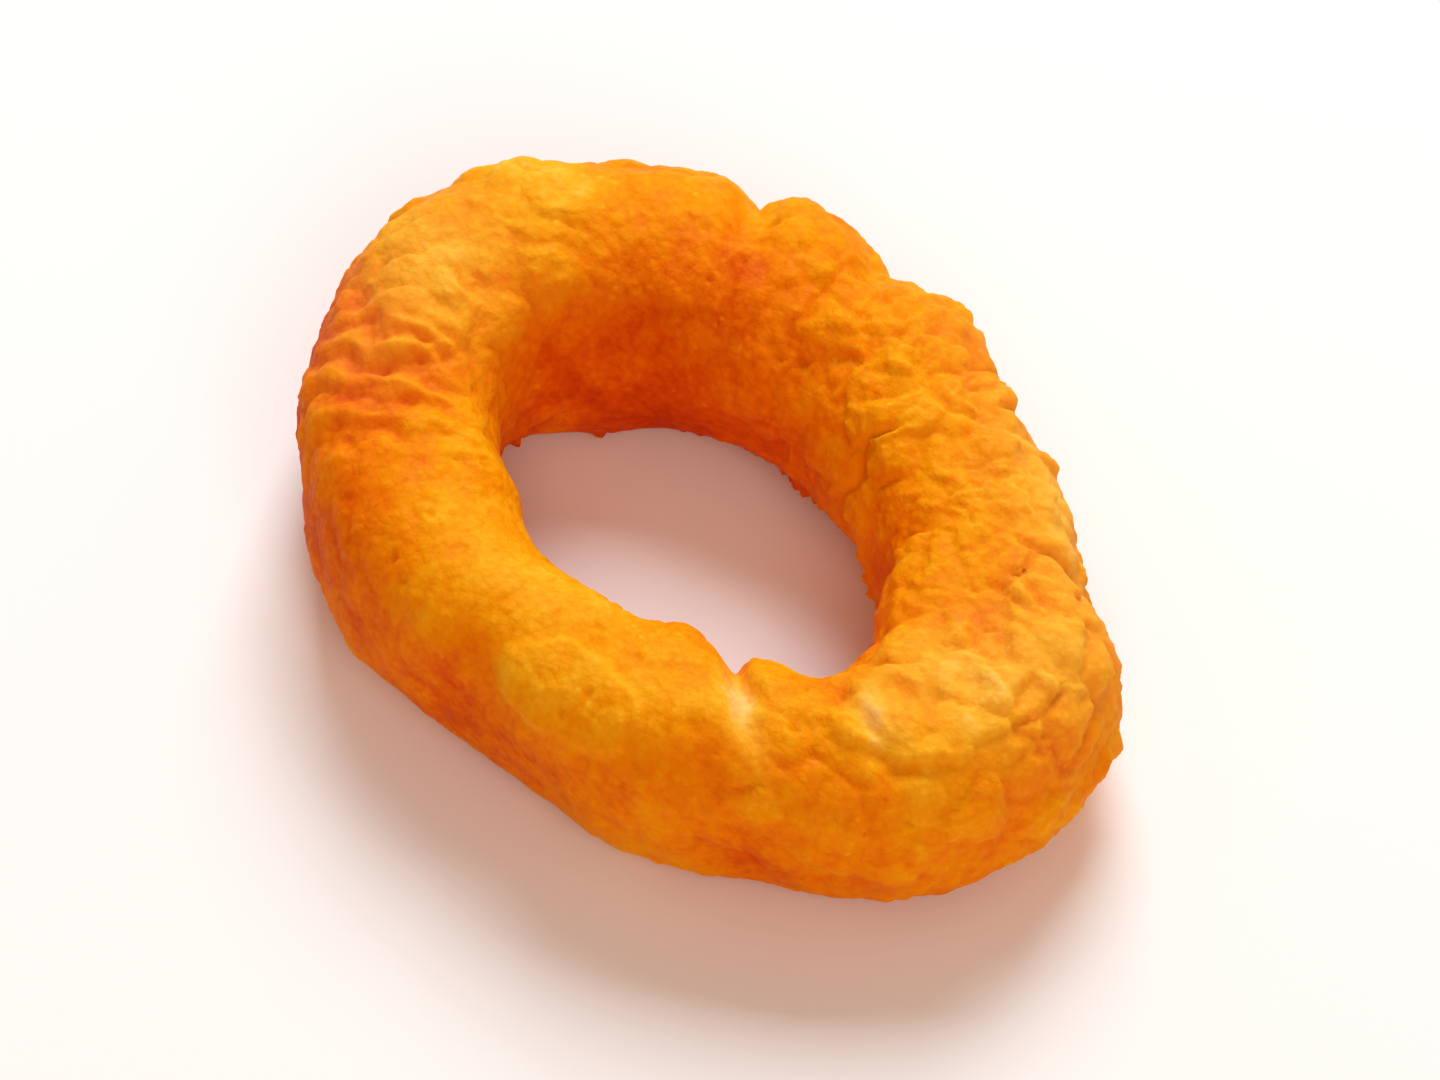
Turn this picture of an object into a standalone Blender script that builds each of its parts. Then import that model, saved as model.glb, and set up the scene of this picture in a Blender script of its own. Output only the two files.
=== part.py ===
# A battered onion ring, fried golden: one oval ring of crust, lying flat.
# Metres, +Z up. The origin is on the table under the middle of the ring, and X runs along its long side.
# Angles round the ring start at +X and turn anticlockwise, seen from above.
# Angles round the tube start on the outside of the ring and go up over the top: 90 is the crest, 180 the hole.

import math

import bpy
from mathutils import Vector, noise

MM = 0.001

# Eight stations round the ring, evenly spaced from +X, in millimetres: the distance from the middle
# of the ring to the middle of the tube, and half of the tube's width and of its height. The last
# number says how crumbly the crust is there, from 0 to 1.
STATIONS = (
    (28.1, 10.6, 8.8, 0.95),
    (20.6, 8.5, 8.6, 1.0),
    (19.0, 8.2, 9.0, 1.0),
    (23.2, 10.4, 9.9, 0.35),
    (28.0, 9.3, 9.6, 0.7),
    (22.2, 8.1, 9.2, 0.35),
    (18.2, 7.2, 8.8, 0.2),
    (21.6, 8.6, 9.0, 0.3),
)

# The onion slice under the crust makes the tube a little square.
SQUARENESS = 0.025

# How far the round underside is pressed flat where the ring rests, in millimetres.
FOOT_DEPTH = 0.35

# Swells of the batter: angle round the ring, angle round the tube, length along the ring,
# breadth across the tube, height. Degrees, then millimetres. One with a height below 0 is a hollow.
SWELLS = (
    (113, 38, 7.0, 10.0, 1.0),
    (84, 28, 4.5, 7.0, 2.0),
    (46, 5, 4.5, 6.0, 0.6),
    (11, -8, 4.5, 7.0, 0.2),
    (19, 18, 4.5, 7.0, 1.0),
    (34, 22, 4.0, 6.0, -1.2),
    (355, -8, 5.0, 7.0, -0.8),
    (304, -24, 9.0, 7.0, -0.8),
    (131, 45, 4.5, 6.0, -0.7),
    (158, 222, 9.0, 7.0, 1.4),
    (18, 165, 4.5, 7.0, 1.0),
    (9, 160, 5.0, 7.0, 1.1),
    (55, 200, 5.0, 6.0, -0.9),
    (343, 142, 6.0, 6.0, -1.4),
    (222, 150, 6.0, 6.0, 0.8),
    (311, 150, 5.0, 7.0, 1.3),
    (176, 70, 6.0, 6.0, 0.8),
    (250, 60, 12.0, 9.0, 0.5),
)

# Creases that run across the tube: angle round the ring, angle round the tube at the middle of the
# crease, its reach across the tube, its width, its depth. Degrees, then millimetres.
CREASES = (
    (324, 130, 9.5, 1.7, 1.9),
    (342, 85, 6.0, 1.4, 0.8),
    (125, 45, 9.0, 2.2, 2.5),
    (100, 30, 7.0, 1.8, 1.1),
    (57, 10, 6.0, 1.5, 0.9),
    (28, 20, 6.0, 2.0, 1.0),
)

# Flakes of crust that lie on the rest: angle round the ring, angle round the tube, length, breadth,
# thickness. Degrees, then millimetres. The edge is the share of a flake over which it rises.
FLAKES = (
    (353, 85, 12.0, 9.0, 0.9),
    (16, 60, 8.0, 9.0, 0.7),
    (190, 95, 10.0, 9.0, 0.6),
    (70, 110, 9.0, 7.0, 0.5),
    (290, 60, 10.0, 8.0, 0.5),
)
FLAKE_EDGE = 0.22

# Short ridges side by side, where the batter ran over the side of the ring: the angle round the ring
# and round the tube of their middle, how far they reach along and across, their pitch and height.
RIDGE_MIDDLE = (205, 80)
RIDGE_REACH = (8.0, 7.5)
RIDGE_PITCH = 2.9
RIDGE_HEIGHT = 0.4

# How far creases, flakes and ridges stray from their line, and the size of one stray, in millimetres.
WANDER = (1.0, 3.0)

# Unevenness all over: size and height in millimetres. Rolls and lumps are soft. Crags and crumbs are
# packed side by side with creases between them. They are tallest where the crust is crumbly, and on
# the outer shoulder of the tube, at this angle round it. The swing is how far they vary round the tube.
ROLLS = (15.0, 0.9)
LUMPS = (7.0, 0.6)
CRAGS = (4.3, 1.35)
CRUMBS = (2.3, 0.6)
TALLEST_AT = 55
TUBE_MEAN = 0.6
TUBE_SWING = 0.4

# Two bends of the space that the crags are cut from, so that no crease runs straight: size and reach.
WARPS = ((5.0, 1.3), (1.7, 0.45))

# A crag as shares of its size or height: how far a crease reaches into it, how round it is, its mean
# height, how much its height varies, how much its top slopes, and the mean that keeps the tube at its
# stated width.
CREASE_REACH = 0.22
CRAG_ROUNDING = 0.8
CRAG_TOP = 0.6
CRAG_SPREAD = 0.4
CRAG_SLOPE = 0.6
CRAG_MEAN = 0.3

# Two unlike factors, so that the height and the slope of a crag are separate draws.
HEIGHT_DRAW = 7.3
SLOPE_DRAW = 5.1

# The draw of the bends and slopes. Without it they would come out differently each time.
SEED = 7

# Points round the ring and round the tube, and the triangles left once the crust is thinned out.
STEPS_ROUND = 288
STEPS_TUBE = 90
MOST_TRIANGLES = 11600

CRUST_COLOUR = (0.86, 0.35, 0.03, 1.0)
CRUST_ROUGHNESS = 0.55


def clear_scene():
    for obj in list(bpy.data.objects):
        bpy.data.objects.remove(obj, do_unlink=True)


def at_station(angle):
    """Radius, half width, half height and crumbliness at an angle, by a curve through the stations."""
    place = angle / math.tau * len(STATIONS)
    first = math.floor(place)
    t = place - first
    before, here, after, beyond = (STATIONS[(first + k) % len(STATIONS)] for k in (-1, 0, 1, 2))
    return [
        b + 0.5 * t * (c - a + t * (2 * a - 5 * b + 4 * c - d + t * (3 * (b - c) + d - a)))
        for a, b, c, d in zip(before, here, after, beyond)
    ]


def turn(degrees, angle):
    """The angle from a direction in degrees to one in radians, from -pi to pi."""
    return (angle - math.radians(degrees) + math.pi) % math.tau - math.pi


def offsets(round_deg, tube_deg, ring_angle, tube_angle, radius, half):
    """Distances along the ring and across the tube from a named place, in millimetres."""
    return turn(round_deg, ring_angle) * radius, turn(tube_deg, tube_angle) * half


def swell_height(ring_angle, tube_angle, radius, half):
    total = 0.0
    for round_deg, tube_deg, length, breadth, height in SWELLS:
        along, across = offsets(round_deg, tube_deg, ring_angle, tube_angle, radius, half)
        total += height * math.exp(-2 * ((along / length) ** 2 + (across / breadth) ** 2))
    return total


def crease_depth(ring_angle, tube_angle, radius, half, wander):
    total = 0.0
    for round_deg, tube_deg, reach, width, depth in CREASES:
        along, across = offsets(round_deg, tube_deg, ring_angle, tube_angle, radius, half)
        total += depth * math.exp(-2 * (((along + wander) / width) ** 2 + (across / reach) ** 4))
    return total


def flake_height(ring_angle, tube_angle, radius, half, wander):
    """Plates with a steep, uneven edge. The thickest at a place counts, as one lies on the other."""
    thickest = 0.0
    for round_deg, tube_deg, length, breadth, thickness in FLAKES:
        along, across = offsets(round_deg, tube_deg, ring_angle, tube_angle, radius, half)
        reach = 2 * math.hypot(along / length, across / breadth) + 0.25 * wander
        rise = min(1.0, max(0.0, (1 - reach) / FLAKE_EDGE + 0.5))
        thickest = max(thickest, thickness * rise * rise * (3 - 2 * rise))
    return thickest


def ridge_height(ring_angle, tube_angle, radius, half, wander):
    along, across = offsets(*RIDGE_MIDDLE, ring_angle, tube_angle, radius, half)
    here = math.exp(-2 * ((along / RIDGE_REACH[0]) ** 4 + (across / RIDGE_REACH[1]) ** 4))
    return RIDGE_HEIGHT * here * math.sin(math.tau * (along + 1.2 * wander) / RIDGE_PITCH)


def warped(point):
    """The point moved by the two bends."""
    moved = point.copy()
    for size, reach in WARPS:
        moved += reach * noise.noise_vector(point / size)
    return moved


def crag_height(point, size):
    """Rounded crags, each with a height and a slope of its own, as a share of the full height."""
    distances, centres = noise.voronoi(point / size)
    from_crease = 1 - math.exp(-(distances[1] - distances[0]) / CREASE_REACH)
    dome = max(0.0, 1 - CRAG_ROUNDING * distances[0] ** 2)
    slope = noise.noise_vector(centres[0] * SLOPE_DRAW).dot(point / size - centres[0])
    top = CRAG_TOP + CRAG_SPREAD * noise.cell(centres[0] * HEIGHT_DRAW) + CRAG_SLOPE * slope
    return from_crease * dome * max(0.0, top) - CRAG_MEAN


def crust_point(ring_angle, tube_angle):
    """A point of the crust, in millimetres."""
    radius, half_width, half_height, crumbly = at_station(ring_angle % math.tau)
    squared = 1 - SQUARENESS * math.cos(4 * tube_angle)
    outward = Vector((math.cos(ring_angle), math.sin(ring_angle), 0))
    up = Vector((0, 0, 1))
    middle = outward * radius + up * (half_height - FOOT_DEPTH)
    arm = (outward * half_width * math.cos(tube_angle) + up * half_height * math.sin(tube_angle)) * squared
    skin = middle + arm

    place = (ring_angle, tube_angle, radius, 0.5 * (half_width + half_height))
    wander = WANDER[0] * noise.noise(skin / WANDER[1])
    height = ROLLS[1] * noise.noise(skin / ROLLS[0]) + LUMPS[1] * noise.noise(skin / LUMPS[0])
    share = crumbly * (TUBE_MEAN + TUBE_SWING * math.cos(turn(TALLEST_AT, tube_angle)))
    cut = warped(skin)
    for size, tallest in (CRAGS, CRUMBS):
        height += tallest * share * crag_height(cut, size)
    height += swell_height(*place) + flake_height(*place, wander) + ridge_height(*place, wander)
    height -= crease_depth(*place, wander)
    skin += arm.normalized() * height
    skin.z = max(skin.z, 0.0)
    return skin


def crust_material():
    material = bpy.data.materials.new("fried_batter")
    material.use_nodes = True
    shader = material.node_tree.nodes["Principled BSDF"]
    shader.inputs["Base Color"].default_value = CRUST_COLOUR
    shader.inputs["Roughness"].default_value = CRUST_ROUGHNESS
    shader.inputs["Metallic"].default_value = 0.0
    return material


def make_ring():
    """A torus whose points are moved out to the crust."""
    major, minor = 1.0, 0.4
    bpy.ops.mesh.primitive_torus_add(
        major_segments=STEPS_ROUND,
        minor_segments=STEPS_TUBE,
        major_radius=major,
        minor_radius=minor,
    )
    ring = bpy.context.active_object
    ring.name = "onion_ring"
    for vertex in ring.data.vertices:
        x, y, z = vertex.co
        ring_angle = math.atan2(y, x)
        tube_angle = math.atan2(z, math.hypot(x, y) - major)
        vertex.co = crust_point(ring_angle, tube_angle) * MM
    ring.data.materials.append(crust_material())
    return ring


def thin_out(ring):
    """Takes points away, first where the crust is flat, until MOST_TRIANGLES are left."""
    thinned = ring.modifiers.new("thinned", "DECIMATE")
    thinned.ratio = MOST_TRIANGLES / (2 * STEPS_ROUND * STEPS_TUBE)
    bpy.ops.object.modifier_apply(modifier=thinned.name)
    ring.data.shade_smooth()


def settle(ring):
    """Puts the middle of the ring's box over the origin, and the foot exactly on the table."""
    middle = [0.5 * (min(ends) + max(ends)) for ends in zip(*(vertex.co for vertex in ring.data.vertices))]
    for vertex in ring.data.vertices:
        vertex.co.x -= middle[0]
        vertex.co.y -= middle[1]
        if vertex.co.z < 0.01 * MM:
            vertex.co.z = 0.0


def main():
    clear_scene()
    noise.seed_set(SEED)
    parts = bpy.data.collections.new("onion_ring")
    bpy.context.scene.collection.children.link(parts)
    ring = make_ring()
    thin_out(ring)
    settle(ring)
    for collection in list(ring.users_collection):
        collection.objects.unlink(ring)
    parts.objects.link(ring)


main()
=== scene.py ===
import math

import bmesh
import bpy
from mathutils import Matrix, Vector, noise


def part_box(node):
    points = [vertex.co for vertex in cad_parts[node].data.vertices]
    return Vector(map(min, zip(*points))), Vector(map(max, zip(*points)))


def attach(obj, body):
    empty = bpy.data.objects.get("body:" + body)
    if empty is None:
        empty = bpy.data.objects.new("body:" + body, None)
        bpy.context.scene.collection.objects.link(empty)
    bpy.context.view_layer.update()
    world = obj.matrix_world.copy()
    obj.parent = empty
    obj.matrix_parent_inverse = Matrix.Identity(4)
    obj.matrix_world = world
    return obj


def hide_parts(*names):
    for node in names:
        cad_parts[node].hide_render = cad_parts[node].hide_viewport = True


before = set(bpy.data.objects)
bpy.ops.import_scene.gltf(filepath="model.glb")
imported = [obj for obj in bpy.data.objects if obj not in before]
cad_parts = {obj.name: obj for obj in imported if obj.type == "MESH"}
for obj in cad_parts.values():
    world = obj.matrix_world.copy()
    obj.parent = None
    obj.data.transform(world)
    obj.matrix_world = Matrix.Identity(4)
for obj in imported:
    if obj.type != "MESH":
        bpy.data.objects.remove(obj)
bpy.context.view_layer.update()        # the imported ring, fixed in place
scene = bpy.context.scene
mm = 0.001

# One battered onion ring, fried golden, lying flat on a pale table.
# Angles round the ring are in degrees from +X, anticlockwise seen from above.
# Angles round the tube start outside the ring and go up over the top: 90 is the crest, 180 the hole.

print("onion ring: the batter crust")

ringForm = {
    # every 45 degrees from +X: radius of the ring, half width and half height of the tube in mm,
    # and how crumbly the crust is, from 0 to 1
    "stations": (
        (28.1, 10.6, 8.8, 0.95),
        (20.6, 8.5, 8.6, 1.0),
        (19.0, 8.2, 9.0, 1.0),
        (23.2, 10.4, 9.9, 0.35),
        (28.0, 9.3, 9.6, 0.7),
        (22.2, 8.1, 9.2, 0.35),
        (18.2, 7.2, 8.8, 0.2),
        (21.6, 8.6, 9.0, 0.3),
    ),
    "squareness": 0.025,        # the onion slice inside makes the tube a little square
    "footDepth": 0.35,          # mm pressed flat underneath
    # where round the ring and round the tube, length, breadth and height in mm
    "swells": (
        (113, 38, 7.0, 10.0, 1.0),
        (84, 28, 4.5, 7.0, 2.0),
        (46, 5, 4.5, 6.0, 0.6),
        (11, -8, 4.5, 7.0, 0.2),
        (19, 18, 4.5, 7.0, 1.0),
        (34, 22, 4.0, 6.0, -1.2),
        (355, -8, 5.0, 7.0, -0.8),
        (304, -24, 9.0, 7.0, -0.8),
        (131, 45, 4.5, 6.0, -0.7),
        (158, 222, 9.0, 7.0, 1.4),
        (18, 165, 4.5, 7.0, 1.0),
        (9, 160, 5.0, 7.0, 1.1),
        (55, 200, 5.0, 6.0, -0.9),
        (343, 142, 6.0, 6.0, -1.4),
        (222, 150, 6.0, 6.0, 0.8),
        (311, 150, 5.0, 7.0, 1.3),
        (176, 70, 6.0, 6.0, 0.8),
        (250, 60, 12.0, 9.0, 0.5),
    ),
    # where, reach across the tube, width and depth in mm
    "creases": (
        (324, 130, 9.5, 1.7, 1.9),
        (342, 85, 6.0, 1.4, 0.8),
        (125, 45, 9.0, 2.2, 2.5),
        (100, 30, 7.0, 1.8, 1.1),
        (57, 10, 6.0, 1.5, 0.9),
        (28, 20, 6.0, 2.0, 1.0),
    ),
    # where, length, breadth and thickness in mm
    "flakes": (
        (353, 85, 12.0, 9.0, 0.9),
        (16, 60, 8.0, 9.0, 0.7),
        (190, 95, 10.0, 9.0, 0.6),
        (70, 110, 9.0, 7.0, 0.5),
        (290, 60, 10.0, 8.0, 0.5),
    ),
    "flakeEdge": 0.22,          # share of a flake over which it rises
    "ridgesAt": (205, 80),      # where the batter ran over the side in short ridges
    "ridgesReach": (8.0, 7.5),  # mm along and across
    "ridgePitch": 2.9,          # mm from ridge to ridge
    "ridgeHeight": 0.4,         # mm
    "wander": (1.0, 3.0),       # how far lines stray and the size of a stray, mm
    # the share of a stray that each of these takes
    "strays": {"dents": 0.4, "flakes": 0.25, "ridges": 1.2, "patches": 0.7},
    "seed": 7,                  # the draw of the bends and slopes of the crags
}

crustRelief = {
    "rolls": (15.0, 0.9),       # size and height in mm, soft like the lumps
    "lumps": (7.0, 0.6),
    # packed side by side: size and height in mm, and the share of each in the tone
    "crags": (4.3, 1.35, 0.5),
    "crumbs": (2.3, 0.6, 0.3),
    "granules": (1.2, 0.16, 0.2),
    # degrees round the tube where they are tallest, their mean height round it and how far it swings
    "tallest": (55, 0.6, 0.4),
    # as shares of a crag's size or height
    "creaseReach": 0.22,        # how far a crease reaches into it
    "rounding": 0.8,
    "top": 0.6,                 # the mean height, how far it varies and how much the top slopes
    "spread": 0.4,
    "slope": 0.6,
    "cragMean": 0.3,            # taken off, so that the tube keeps its width
    # size of the cells that may hold one, its reach, its height or depth, all in mm, and the share without
    "nuggets": (2.1, 0.80, 0.30, 0.35),
    "pits": (3.1, 0.62, 0.35, 0.5),
    "smoothShare": 0.4,         # the height that nuggets keep where the crust isn't crumbly
    "foot": (217, 30, 1.7),     # degrees round the tube where nuggets are taller, how far, and how much
    "grain": (0.9, 0.07),       # size and height in mm
    "warps": ((5.0, 1.3), (1.7, 0.45)),     # size and reach in mm, so that no crease runs straight
    # unlike factors, so that heights, slopes and the choice of bare cells are separate draws
    "draws": {"height": 7.3, "slope": 5.1, "bare": 3.7},
    # bubbles and nicks: where round the ring and the tube, length, breadth and depth in mm
    "dents": (
        (222.6, 117, 0.7, 0.7, 0.40),
        (220.6, 131, 0.6, 0.6, 0.30),
        (313.8, 68, 0.8, 1.4, 0.40),
        (288.4, 104, 0.7, 0.9, 0.30),
        (193.7, 86, 0.9, 2.8, 0.45),
        (199.0, 77, 0.8, 4.0, 0.40),
        (207.2, 79, 0.8, 3.4, 0.45),
        (176.7, 74, 1.0, 1.1, 0.40),
        (182.7, 83, 0.9, 0.9, 0.35),
        (179.4, 111, 1.0, 2.0, 0.45),
        (192.1, 116, 0.9, 2.0, 0.40),
        (8.2, 94, 1.2, 1.2, 0.40),
        (352.0, 96, 0.8, 2.0, 0.35),
    ),
    "stepsRound": 620,
    "stepsTube": 156,
}

# how deep orange or pale gold the batter is, its own tone together with painted light and shade: 0 deep
# orange, 1 pale gold
crustTone = {
    "crest": 0.62,
    "underside": -0.22,         # painted shade: deeper orange towards the bottom of the tube than on the crest
    # painted shade: deeper orange on the side of the tube that faces the hole
    "holeSideShade": -0.08,
    # crags to dents: painted light and shade that follow the relief, paler on what stands up, more orange in
    # creases, dents and hollows
    "crags": 0.24,              # between the lowest creases and the highest crags
    "flakes": 0.13,             # by mm of height or depth, as the next three
    "ridges": 0.28,
    "lumps": 0.20,
    "dents": 0.22,
    "patchFade": 1.2,           # how steeply a patch fades
    # where round the ring and the tube, length and breadth in mm, and how much paler
    "patches": (
        (180, 80, 5.0, 6.0, 0.17),
        (186, 109, 4.0, 4.0, 0.06),
        (203, 80, 5.0, 5.0, 0.02),
        (157, 64, 6.0, 6.0, 0.08),
        (323.5, 94, 1.2, 5.8, 0.36),
        (346.6, 98, 1.1, 1.5, 0.20),
        (344.4, 87, 1.1, 1.6, 0.24),
        (342.2, 75, 1.1, 1.6, 0.24),
        (359, 89, 5.5, 5.5, 0.22),
        (17, 98, 6.0, 5.0, 0.07),
        (2, 29, 3.0, 4.0, -0.10),
        (45, 37, 2.0, 2.0, 0.14),
        (124, 100, 3.0, 6.0, -0.18),
        (118, 145, 6.0, 5.0, -0.10),
        # this and the next: painted light on the shaded inner wall of the right side
        (34, 172, 6.0, 5.0, 0.08),
        (14, 168, 6.0, 5.0, 0.08),
        # painted shade at the foot of the back wall, inside the hole
        (151, 210, 25.0, 12.0, -0.40),
        (163, 142, 5.0, 5.0, 0.07),
        (256, 108, 9.0, 6.0, 0.20),
        (38, 54, 5.0, 6.0, 0.13),
        (305, 107, 5.0, 4.0, 0.10),
        (278, 8, 20.0, 7.0, -0.12),
        (250, 46, 15.0, 5.0, 0.09),
        (265, 62, 8.0, 5.0, 0.10),
        (338, 62, 7.0, 4.0, 0.06),
        (331, 96, 3.0, 4.0, 0.05),
        (328, 12, 16.0, 7.0, -0.05),
        (316, 66, 2.0, 5.0, -0.10),
        # painted shade on the low outer left side
        (220, 22, 18.0, 10.0, -0.30),
    ),
    # where there is flour left on the batter, length and breadth in mm, and its share
    "flour": (
        (184, 80, 8.0, 8.0, 0.09),
        (203, 66, 5.0, 6.0, 0.03),
        (40, 35, 14.0, 6.0, 0.10),
        (10, 68, 7.0, 6.0, 0.07),
        (357, 98, 7.0, 5.0, 0.06),
        (323.5, 100, 1.2, 5.8, 0.14),
        (344.4, 87, 1.3, 2.6, 0.07),
    ),
}


def bell(reach, steep=2):
    # 1 in the middle, fading outward: reach is a sum of even powers of the distances
    return math.exp(-steep * reach)


def turnFrom(degrees, angle):
    # the angle from a direction in degrees to one in radians, -pi to pi
    return (angle - math.radians(degrees) + math.pi) % math.tau - math.pi


def tubeAt(angle):
    # radius, half width, half height and how crumbly the crust is, by a curve through the stations
    stations = ringForm["stations"]
    place = (angle % math.tau) / math.tau * len(stations)
    first = math.floor(place)
    t = place - first
    before, here, after, beyond = (stations[(first + k) % len(stations)] for k in (-1, 0, 1, 2))
    return [
        b + 0.5 * t * (c - a + t * (2 * a - 5 * b + 4 * c - d + t * (3 * (b - c) + d - a)))
        for a, b, c, d in zip(before, here, after, beyond)
    ]


def crags(point, size):
    # rounded crags side by side, each with a height and a slope of its own, and 0 in the creases
    relief = crustRelief
    draws = relief["draws"]
    distances, centres = noise.voronoi(point / size)
    fromCrease = 1 - math.exp(-(distances[1] - distances[0]) / relief["creaseReach"])
    rounded = max(0.0, 1 - relief["rounding"] * distances[0] ** 2)
    height = relief["top"] + relief["spread"] * noise.cell(centres[0] * draws["height"])
    slope = noise.noise_vector(centres[0] * draws["slope"]).dot(point / size - centres[0])
    return fromCrease * rounded * max(0.0, height + relief["slope"] * slope)


def dome(point, size, reach, bare):
    # 1 in the middle of a round bump and 0 beyond its reach, in some of the cells: bare is the share without
    distances, centres = noise.voronoi(point / size)
    if noise.cell(centres[0] * crustRelief["draws"]["bare"]) < 2 * bare - 1:
        return 0.0
    return max(0.0, 1 - (distances[0] * size / reach) ** 2) ** 1.5


def formHeight(ringAngle, tubeAngle, radius, half, stray):
    # swells, flakes and ridges stand up, creases and dents go in; then the tone there, with painted light and
    # shade that follow the relief, and the flour
    strays = ringForm["strays"]

    def offsets(place):
        return turnFrom(place[0], ringAngle) * radius, turnFrom(place[1], tubeAngle) * half

    def patched(patches):
        total = 0.0
        shift = strays["patches"] * stray
        for patch in patches:
            along, across = offsets(patch)
            reach = ((along + shift) / patch[2]) ** 2 + ((across + shift) / patch[3]) ** 2
            total += patch[4] * bell(reach, crustTone["patchFade"])
        return total

    height = 0.0
    for swell in ringForm["swells"]:
        along, across = offsets(swell)
        height += swell[4] * bell((along / swell[2]) ** 2 + (across / swell[3]) ** 2)
    dented = 0.0
    for dent in crustRelief["dents"]:
        along, across = offsets(dent)
        along += strays["dents"] * stray
        dented += dent[4] * bell((along / dent[2]) ** 2 + (across / dent[3]) ** 2)
    for crease in ringForm["creases"]:
        along, across = offsets(crease)
        height -= crease[4] * bell(((along + stray) / crease[3]) ** 2 + (across / crease[2]) ** 4)
    thickest = 0.0
    for flake in ringForm["flakes"]:
        along, across = offsets(flake)
        reach = 2 * math.hypot(along / flake[2], across / flake[3]) + strays["flakes"] * stray
        rise = min(1.0, max(0.0, (1 - reach) / ringForm["flakeEdge"] + 0.5))
        thickest = max(thickest, flake[4] * rise * rise * (3 - 2 * rise))
    along, across = offsets(ringForm["ridgesAt"])
    length, breadth = ringForm["ridgesReach"]
    ridge = ringForm["ridgeHeight"] * bell((along / length) ** 4 + (across / breadth) ** 4)
    ridge *= math.sin(math.tau * (along + strays["ridges"] * stray) / ringForm["ridgePitch"])

    # painted light and shade: paler on flakes and ridge tops, more orange between ridges and in dents
    tone = crustTone["flakes"] * thickest + crustTone["ridges"] * ridge - crustTone["dents"] * dented
    tone += patched(crustTone["patches"])
    return height + thickest + ridge - dented, tone, patched(crustTone["flour"])


def reliefHeight(skin, tubeAngle, crumbly):
    # the crust's unevenness at a point of the smooth tube, from lumps to pits, and the painted light and
    # shade it gives the tone: paler on tops, more orange in hollows
    relief = crustRelief
    height = tone = 0.0
    for size, tallest in (relief["rolls"], relief["lumps"]):
        height += tallest * noise.noise(skin / size)
        # painted light and shade: paler on the tops of rolls and lumps, more orange in their low places
        tone += crustTone["lumps"] * tallest * noise.noise(skin / size)
    tallestAt, mean, swing = relief["tallest"]
    share = crumbly * (mean + swing * math.cos(tubeAngle - math.radians(tallestAt)))
    cragShade = 0.0
    warped = skin.copy()
    for size, reach in relief["warps"]:
        warped += reach * noise.noise_vector(skin / size)
    for size, tallest, weight in (relief["crags"], relief["crumbs"], relief["granules"]):
        crag = crags(warped, size)
        height += tallest * share * (crag - relief["cragMean"])
        cragShade += weight * crag
    size, tallest = relief["grain"]
    height += tallest * noise.noise(skin / size)
    size, reach, tallest, bare = relief["nuggets"]
    footAt, footReach, extra = relief["foot"]
    fromFoot = math.degrees(turnFrom(footAt, tubeAngle)) / footReach
    taller = 1 + extra * bell(fromFoot ** 2)
    smooth = relief["smoothShare"]
    height += tallest * taller * (smooth + (1 - smooth) * crumbly) * dome(warped, size, reach, bare)
    size, reach, deepest, bare = relief["pits"]
    pit = deepest * dome(skin, size, reach, bare)
    # painted shade: more orange in the creases between crags and in pits, paler on crag tops
    tone += crustTone["crags"] * (cragShade - relief["cragMean"]) - crustTone["dents"] * pit
    return height - pit, tone


def crustPoint(ringAngle, tubeAngle):
    # a point of the crust in mm, its tone, and the share of flour on it
    radius, halfWidth, halfHeight, crumbly = tubeAt(ringAngle)
    squared = 1 - ringForm["squareness"] * math.cos(4 * tubeAngle)
    outward = Vector((math.cos(ringAngle), math.sin(ringAngle), 0))
    up = Vector((0, 0, 1))
    arm = (outward * halfWidth * math.cos(tubeAngle) + up * halfHeight * math.sin(tubeAngle)) * squared
    skin = outward * radius + up * (halfHeight - ringForm["footDepth"]) + arm

    farthest, size = ringForm["wander"]
    stray = farthest * noise.noise(skin / size)
    formed, tone, flour = formHeight(ringAngle, tubeAngle, radius, 0.5 * (halfWidth + halfHeight), stray)
    uneven, reliefShade = reliefHeight(skin, tubeAngle, crumbly)
    skin += arm.normalized() * (formed + uneven)
    skin.z = max(skin.z, 0.0)
    tone += crustTone["crest"] + reliefShade
    # painted shade: deeper orange towards the bottom of the tube
    tone += crustTone["underside"] * (0.5 - 0.5 * math.sin(tubeAngle)) ** 1.5
    # painted shade: deeper orange on the side facing the hole
    tone += crustTone["holeSideShade"] * max(0.0, -math.cos(tubeAngle))
    return skin, tone, flour


def newObject(name, body, material):
    mesh = bpy.data.meshes.new(name)
    body.to_mesh(mesh)
    body.free()
    mesh.shade_smooth()
    mesh.materials.append(material)
    piece = bpy.data.objects.new(name, mesh)
    scene.collection.objects.link(piece)
    return piece


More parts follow.
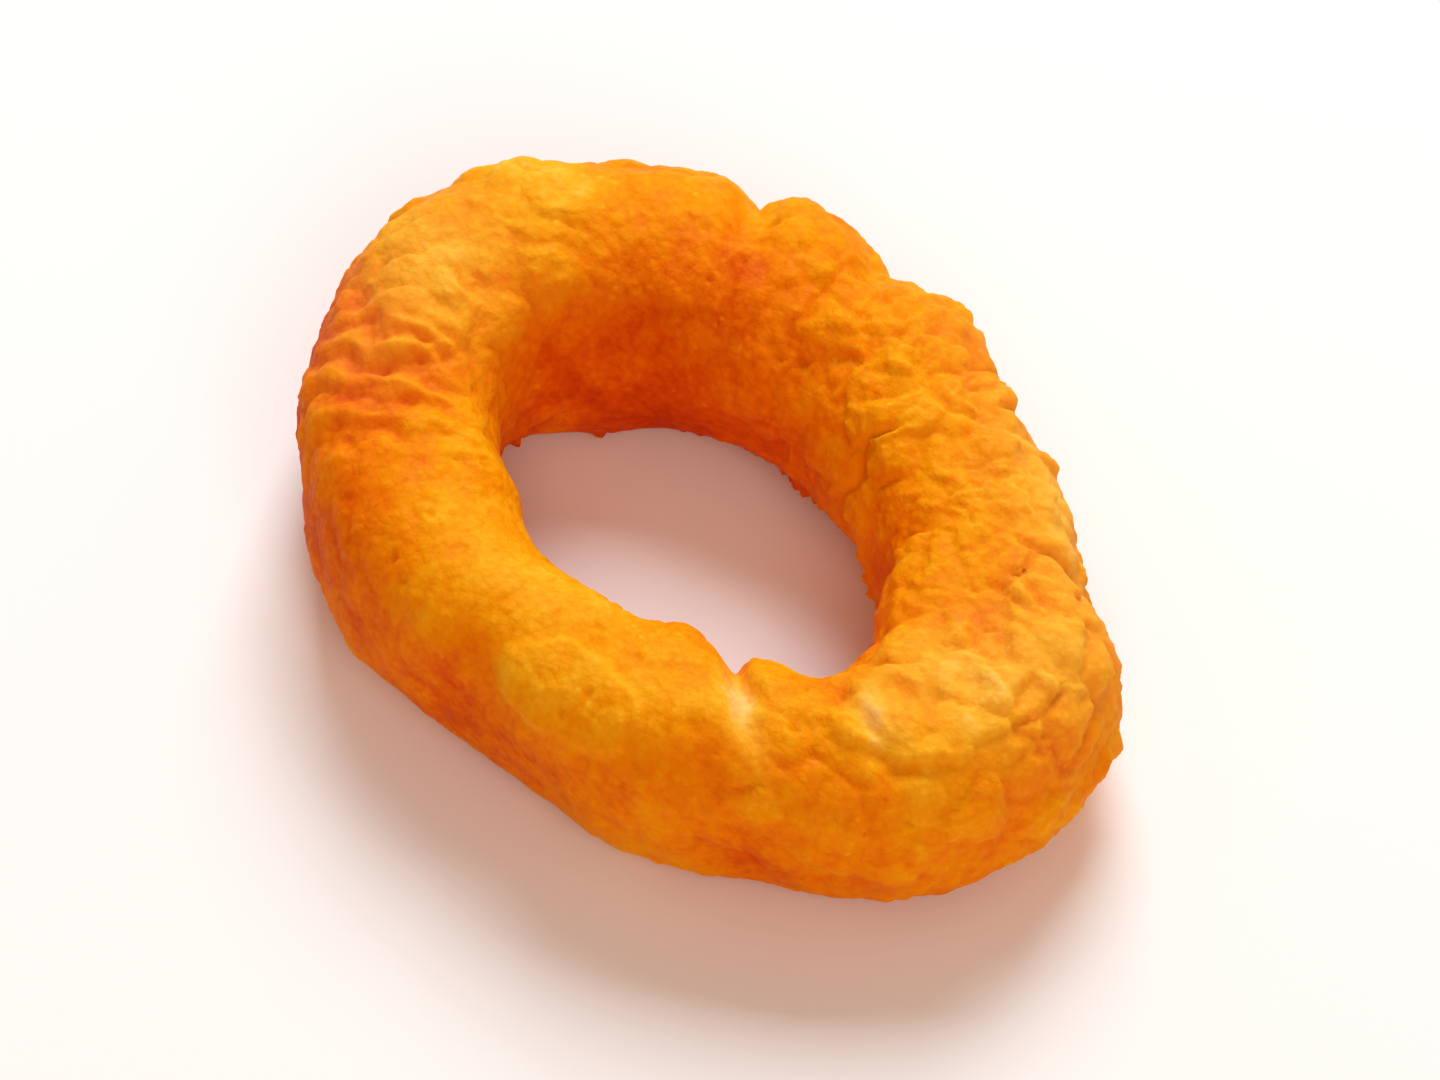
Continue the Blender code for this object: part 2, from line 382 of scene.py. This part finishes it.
def makeCrust(material):
    # a circle spun into a torus, whose points are then moved out to the crust by their two angles
    noise.seed_set(ringForm["seed"])
    ringRadius, tubeRadius = 1.0, 0.4
    body = bmesh.new()
    stood = Matrix.Translation((ringRadius, 0, 0)) @ Matrix.Rotation(math.pi / 2, 4, "X")
    bmesh.ops.create_circle(body, segments=crustRelief["stepsTube"], radius=tubeRadius, matrix=stood)
    bmesh.ops.spin(body, geom=body.verts[:] + body.edges[:], cent=(0, 0, 0), axis=(0, 0, 1),
                   angle=math.tau, steps=crustRelief["stepsRound"], use_merge=True)
    tone = body.verts.layers.float.new("tone")
    flour = body.verts.layers.float.new("flour")
    for vertex in body.verts:
        x, y, z = vertex.co
        ringAngle = math.atan2(y, x)
        tubeAngle = math.atan2(z, math.hypot(x, y) - ringRadius)
        skin, vertex[tone], vertex[flour] = crustPoint(ringAngle, tubeAngle)
        vertex.co = skin * mm
    bmesh.ops.recalc_face_normals(body, faces=body.faces[:])

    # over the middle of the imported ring
    low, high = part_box("onion_ring")
    middle = 0.5 * (low + high)
    xs = [vertex.co.x for vertex in body.verts]
    ys = [vertex.co.y for vertex in body.verts]
    shift = Vector((middle.x - 0.5 * (min(xs) + max(xs)), middle.y - 0.5 * (min(ys) + max(ys)), 0))
    bmesh.ops.translate(body, verts=body.verts[:], vec=shift)
    return newObject("batterCrust", body, material)


def colour(code):
    # an sRGB hex value turned to linear
    def linear(share):
        return share / 12.92 if share <= 0.04045 else ((share + 0.055) / 1.055) ** 2.4

    return (*(linear(int(code[k:k + 2], 16) / 255) for k in (1, 3, 5)), 1.0)


def addNode(tree, kind, inputs=None, stops=None, **settings):
    # an input is a value, or the output that feeds it
    node = tree.nodes.new(kind)
    for name, value in settings.items():
        setattr(node, name, value)
    for name, value in (inputs or {}).items():
        if isinstance(value, bpy.types.NodeSocket):
            tree.links.new(value, node.inputs[name])
        else:
            node.inputs[name].default_value = value
    if stops:
        ramp = node.color_ramp
        while len(ramp.elements) < len(stops):
            ramp.elements.new(1.0)
        for element, (place, code) in zip(ramp.elements, stops):
            element.position = place
            element.color = colour(code)
    return node


# Fried batter: flour and crumb, cooked in oil. It is dull and grainy with a thin oily shine, light comes
# a little way out of it again, and the crests are painted paler gold than the creases and the side of the
# hole, as painted light and shade.
friedBatter = {
    "stops": (
        (0.00, "#C43A00"),
        (0.20, "#DE5700"),
        (0.42, "#EE7C00"),
        (0.62, "#F29803"),
        (0.78, "#F6AC18"),
        (0.90, "#FAB83A"),
        (1.00, "#FCC166"),
    ),
    "flourColour": "#FFC489",
    # size in mm, steps of detail, distortion, and how much paler or browner the batter is by it
    "patches": (9.0, 2, 0.3, 0.38),
    "blotches": (2.6, 2, 0.3, 0.30),
    "grains": (0.5, 1, 0.0, 0.18),
    # size and height of a crumb in mm, how much paler its top is than the gaps, as painted shade in the gaps,
    # and the pattern's mean
    "crumbs": (0.8, 0.11, 0.12, 0.4),
    "crumbBends": (1.1, 0.6),   # size and reach in mm, so that crumbs are uneven
    "grit": (0.28, 0.05),       # size and height in mm
    # size of the cells that may hold a speck in mm, its reach, the share of cells without, and its tone
    "toastedSpecks": (1.7, 0.15, 0.90, -0.13),
    "paleSpecks": (1.3, 0.22, 0.86, 0.14),
    # from the lowest blotches to the highest: their values and the roughness there
    "blotchRange": (0.35, 0.65),
    "roughness": (0.48, 0.70),
    "specular": 0.035,
    "insideLight": 0.4,         # the share of light that goes in, its spread by colour and its reach in mm
    "insideSpread": (1.0, 0.30, 0.06),
    "insideReach": 1.3,
}


def friedBatterMaterial():
    look = friedBatter
    material = bpy.data.materials.new("friedBatter")
    material.use_nodes = True
    tree = material.node_tree
    shader = tree.nodes["Principled BSDF"]
    place = addNode(tree, "ShaderNodeTexCoord").outputs["Object"]

    def uneven(size, detail=1, distortion=0.0):
        return addNode(tree, "ShaderNodeTexNoise", {
            "Vector": place, "Scale": 1 / (size * mm), "Detail": detail, "Distortion": distortion,
        }).outputs["Fac"]

    def reckon(operation, first, second):
        return addNode(tree, "ShaderNodeMath", {0: first, 1: second}, operation=operation).outputs[0]

    def specks(size, reach, bare):
        cells = addNode(tree, "ShaderNodeTexVoronoi", {"Vector": place, "Scale": 1 / (size * mm)})
        near = addNode(tree, "ShaderNodeMapRange", {
            "Value": cells.outputs["Distance"], "From Min": reach, "From Max": 0.5 * reach,
        }).outputs["Result"]
        drawn = addNode(tree, "ShaderNodeSeparateColor", {"Color": cells.outputs["Color"]}).outputs["Red"]
        return reckon("MULTIPLY", near, reckon("GREATER_THAN", drawn, bare))

    crumbSize, crumbHeight, crumbShade, crumbMean = look["crumbs"]
    bendSize, bendReach = look["crumbBends"]
    bends = addNode(tree, "ShaderNodeTexNoise", {
        "Vector": place, "Scale": 1 / (bendSize * mm), "Detail": 1.0,
    }).outputs["Color"]
    bent = addNode(tree, "ShaderNodeVectorMath", {
        0: bends, "Scale": bendReach * mm,
    }, operation="SCALE").outputs["Vector"]
    crumbPlace = addNode(tree, "ShaderNodeVectorMath", {0: place, 1: bent}, operation="ADD").outputs["Vector"]
    crumbs = addNode(tree, "ShaderNodeTexVoronoi", {
        "Vector": crumbPlace, "Scale": 1 / (crumbSize * mm),
    }).outputs["Distance"]

    tone = addNode(tree, "ShaderNodeAttribute", attribute_name="tone").outputs["Fac"]
    patterns = {name: uneven(*look[name][:3]) for name in ("patches", "blotches", "grains")}
    for name, pattern in patterns.items():
        tone = reckon("ADD", tone, reckon("MULTIPLY", reckon("SUBTRACT", pattern, 0.5), look[name][3]))
    for size, reach, bare, change in (look["toastedSpecks"], look["paleSpecks"]):
        tone = reckon("ADD", tone, reckon("MULTIPLY", specks(size, reach, bare), change))
    # painted shade: darker in the gaps between crumbs, paler on their tops
    tone = reckon("ADD", tone, reckon("MULTIPLY", reckon("SUBTRACT", crumbMean, crumbs), crumbShade))
    ramp = addNode(tree, "ShaderNodeValToRGB", {"Fac": tone}, stops=look["stops"])
    # of the mix, 6 and 7 are the colours that go in, and 2 is the one that comes out
    flour = addNode(tree, "ShaderNodeAttribute", attribute_name="flour").outputs["Fac"]
    floured = addNode(tree, "ShaderNodeMix", {
        0: flour, 6: ramp.outputs["Color"], 7: colour(look["flourColour"]),
    }, data_type="RGBA")
    tree.links.new(floured.outputs[2], shader.inputs["Base Color"])

    lowest, highest = look["blotchRange"]
    shine = addNode(tree, "ShaderNodeMapRange", {
        "Value": patterns["blotches"], "From Min": lowest, "From Max": highest,
        "To Min": look["roughness"][0], "To Max": look["roughness"][1],
    })
    tree.links.new(shine.outputs["Result"], shader.inputs["Roughness"])

    gritSize, gritHeight = look["grit"]
    bumps = addNode(tree, "ShaderNodeBump", {"Height": crumbs, "Distance": crumbHeight * mm}, invert=True)
    bumps = addNode(tree, "ShaderNodeBump", {
        "Height": uneven(gritSize), "Distance": gritHeight * mm, "Normal": bumps.outputs["Normal"],
    })
    tree.links.new(bumps.outputs["Normal"], shader.inputs["Normal"])

    shader.inputs["Specular IOR Level"].default_value = look["specular"]
    shader.inputs["Subsurface Weight"].default_value = look["insideLight"]
    shader.inputs["Subsurface Radius"].default_value = look["insideSpread"]
    shader.inputs["Subsurface Scale"].default_value = look["insideReach"] * mm
    return material


crust = makeCrust(friedBatterMaterial())
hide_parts("onion_ring")
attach(crust, "root")

print("onion ring: the table")

# a plain pale surface, smooth and dull
table = {
    "reach": 2.0,               # m each way
    "colour": "#F8F7F7",
    "roughness": 0.7,
    "specular": 0.2,
}


def makeTable():
    body = bmesh.new()
    bmesh.ops.create_grid(body, x_segments=1, y_segments=1, size=table["reach"])
    material = bpy.data.materials.new("paleTable")
    material.use_nodes = True
    shader = material.node_tree.nodes["Principled BSDF"]
    shader.inputs["Base Color"].default_value = colour(table["colour"])
    shader.inputs["Roughness"].default_value = table["roughness"]
    shader.inputs["Specular IOR Level"].default_value = table["specular"]
    return newObject("table", body, material)


makeTable()

print("onion ring: camera and light")

camera = {
    "azimuth": 45.0,            # degrees round from the front, -Y, towards +X
    "elevation": 52.0,          # degrees above the table
    "distance": 0.8,            # m
    "frameWidth": 0.112,        # m seen across the ring
    "aim": (0.0, 0.0, 0.0075),  # m
    "nearest": 0.01,            # m, where the view begins
}

# degrees round from straight behind the ring, to the right as the camera sees it, degrees up, m away,
# m wide, W and colour
lamps = {
    "window": (8, 45, 1.5, 0.80, 22.8, "#EAF8FF"),
    "card": (166, 38, 2.0, 1.20, 13.8, "#FFF0DE"),      # a warm white card that fills the near side
}
room = (0.38, "#FFDBC5")        # strength and colour, warm so that shade is pinkish


def lookAlong(obj, direction):
    obj.rotation_mode = "QUATERNION"
    obj.rotation_quaternion = direction.to_track_quat("-Z", "Y")


def makeCamera():
    around, up = math.radians(camera["azimuth"]), math.radians(camera["elevation"])
    back = Vector((math.sin(around) * math.cos(up), -math.cos(around) * math.cos(up), math.sin(up)))
    eye = bpy.data.objects.new("camera", bpy.data.cameras.new("camera"))
    eye.location = Vector(camera["aim"]) + back * camera["distance"]
    lookAlong(eye, -back)
    eye.data.lens = eye.data.sensor_width * camera["distance"] / camera["frameWidth"]
    eye.data.clip_start = camera["nearest"]
    scene.collection.objects.link(eye)
    scene.camera = eye


def makeLamps():
    for name, (turned, up, away, width, power, tint) in lamps.items():
        around = math.radians(camera["azimuth"] - turned)
        flat = Vector((-math.sin(around), math.cos(around), 0)) * math.cos(math.radians(up))
        lamp = bpy.data.lights.new(name, "AREA")
        lamp.size = width
        lamp.energy = power
        lamp.color = colour(tint)[:3]
        lit = bpy.data.objects.new(name, lamp)
        lit.location = (flat + Vector((0, 0, math.sin(math.radians(up))))) * away
        lit.visible_camera = False
        lookAlong(lit, -lit.location)
        scene.collection.objects.link(lit)


def makeRoom():
    strength, tint = room
    world = bpy.data.worlds.new("room")
    world.use_nodes = True
    walls = world.node_tree.nodes["Background"]
    walls.inputs["Strength"].default_value = strength
    walls.inputs["Color"].default_value = colour(tint)
    scene.world = world
    scene.view_settings.view_transform = "Standard"


makeCamera()
makeLamps()
makeRoom()

print("onion ring: done")
